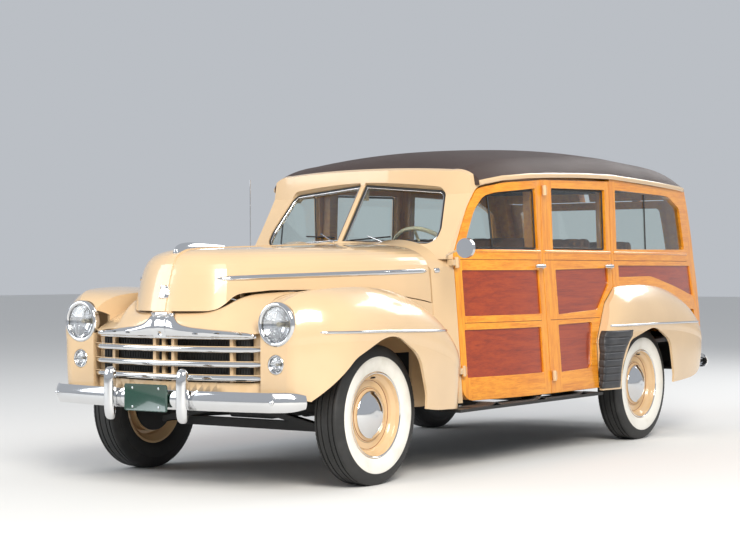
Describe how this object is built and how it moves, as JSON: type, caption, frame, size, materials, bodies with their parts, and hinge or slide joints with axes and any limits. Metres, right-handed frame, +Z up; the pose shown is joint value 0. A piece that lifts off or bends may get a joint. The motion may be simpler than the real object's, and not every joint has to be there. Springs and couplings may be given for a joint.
{
  "type": "wooden-bodied station wagon",
  "caption": "Late-1940s style wooden-bodied station wagon with opening doors, hood, liftgate and tailgate, steered front wheels and three bench seats.",
  "frame": {"origin": "on the floor, in the car's middle plane, 1677 mm behind the front axle", "axes": "+X to the car's left, +Y to the rear, +Z up"},
  "size_m": [1.9307, 5.034, 1.832],
  "materials": {
    "cream_paint": "gloss",
    "maple": "gloss",
    "mahogany": "gloss",
    "chrome": "polished",
    "rubber": "matte",
    "black_steel": "satin",
    "cast_iron": "matte",
    "glass": "clear",
    "roof_vinyl": "matte",
    "leather": "satin",
    "cream_plastic": "gloss"
  },
  "bodies": {
    "car": {"body_frame": "maple", "body_panels": "mahogany", "bumpers": "chrome", "chassis_frame": "black_steel", "cowl": "cream_paint", "engine": "cast_iron", "exhaust": "black_steel", "fixed_glass": "glass", "floor_pan": "cream_paint", "front_axle": "black_steel", "front_fenders": "cream_paint", "fuel_tank": "black_steel", "grille_bars": "chrome", "grille_panel": "cream_paint", "lamps": "chrome", "outside_fittings": "chrome", "rear_axle": "black_steel", "rear_fenders": "cream_paint", "roof": "roof_vinyl", "running_boards": "cream_paint", "seats": "leather", "steering_column": "black_steel"},
    "hood": {"hood": "cream_paint"},
    "knuckle_left": {"knuckle_left": "black_steel"},
    "knuckle_right": {"knuckle_right": "black_steel"},
    "wheel_front_left": {"tyre_front_left": "rubber", "wheel_front_left": "cream_paint"},
    "wheel_front_right": {"tyre_front_right": "rubber", "wheel_front_right": "cream_paint"},
    "wheel_rear_left": {"tyre_rear_left": "rubber", "wheel_rear_left": "cream_paint"},
    "wheel_rear_right": {"tyre_rear_right": "rubber", "wheel_rear_right": "cream_paint"},
    "tailgate": {"tailgate_frame": "maple", "tailgate_panels": "mahogany"},
    "liftgate": {"liftgate_frame": "maple", "liftgate_glass": "glass"},
    "steering_wheel": {"steering_wheel": "cream_plastic"},
    "door_front_left": {"door_front_left_frame": "maple", "door_front_left_panels": "mahogany", "door_front_left_glass": "glass"},
    "door_front_right": {"door_front_right_frame": "maple", "door_front_right_panels": "mahogany", "door_front_right_glass": "glass"},
    "door_rear_left": {"door_rear_left_frame": "maple", "door_rear_left_panels": "mahogany", "door_rear_left_glass": "glass"},
    "door_rear_right": {"door_rear_right_frame": "maple", "door_rear_right_panels": "mahogany", "door_rear_right_glass": "glass"}
  },
  "joints": [
    {"name": "steer_left", "type": "hinge", "parent": "car", "child": "knuckle_left", "pos_m": [0.6405, -1.677, 0.35], "axis": [0, 0, 1], "range_deg": [-27, 27]},
    {"name": "steer_right", "type": "hinge", "parent": "car", "child": "knuckle_right", "pos_m": [-0.6405, -1.677, 0.35], "axis": [0, 0, 1], "range_deg": [-27, 27]},
    {"name": "spin_front_left", "type": "hinge", "parent": "knuckle_left", "child": "wheel_front_left", "pos_m": [0.7365, -1.677, 0.35], "axis": [1, 0, 0], "continuous": true},
    {"name": "spin_front_right", "type": "hinge", "parent": "knuckle_right", "child": "wheel_front_right", "pos_m": [-0.7365, -1.677, 0.35], "axis": [1, 0, 0], "continuous": true},
    {"name": "spin_rear_left", "type": "hinge", "parent": "car", "child": "wheel_rear_left", "pos_m": [0.762, 1.219, 0.35], "axis": [1, 0, 0], "continuous": true},
    {"name": "spin_rear_right", "type": "hinge", "parent": "car", "child": "wheel_rear_right", "pos_m": [-0.762, 1.219, 0.35], "axis": [1, 0, 0], "continuous": true},
    {"name": "door_front_left_hinge", "type": "hinge", "parent": "car", "child": "door_front_left", "pos_m": [0.77, -0.797, 0.44], "axis": [0.073, 0, -0.9973], "range_deg": [0, 65]},
    {"name": "door_front_right_hinge", "type": "hinge", "parent": "car", "child": "door_front_right", "pos_m": [-0.77, -0.797, 0.44], "axis": [0.073, 0, 0.9973], "range_deg": [0, 65]},
    {"name": "door_rear_left_hinge", "type": "hinge", "parent": "car", "child": "door_rear_left", "pos_m": [0.87, 0.02, 0.44], "axis": [0.0588, 0, -0.9983], "range_deg": [0, 65]},
    {"name": "door_rear_right_hinge", "type": "hinge", "parent": "car", "child": "door_rear_right", "pos_m": [-0.87, 0.02, 0.44], "axis": [0.0588, 0, 0.9983], "range_deg": [0, 65]},
    {"name": "hood_hinge", "type": "hinge", "parent": "car", "child": "hood", "pos_m": [0, -0.971, 1.212], "axis": [-1, 0, 0], "range_deg": [0, 45]},
    {"name": "liftgate_hinge", "type": "hinge", "parent": "car", "child": "liftgate", "pos_m": [0, 2.107, 1.546], "axis": [1, 0, 0], "range_deg": [0, 85]},
    {"name": "tailgate_hinge", "type": "hinge", "parent": "car", "child": "tailgate", "pos_m": [0, 2.265, 0.646], "axis": [-1, 0, 0], "range_deg": [0, 90]},
    {"name": "steering_turn", "type": "hinge", "parent": "car", "child": "steering_wheel", "pos_m": [0.35, -0.527, 1.14], "axis": [0, 0.788, 0.6157], "range_deg": [-459, 459]}
  ],
  "couplings": [
    {"joint": "steer_right", "follows": "steer_left", "ratio": 1},
    {"joint": "steering_turn", "follows": "steer_left", "ratio": 17}
  ]
}
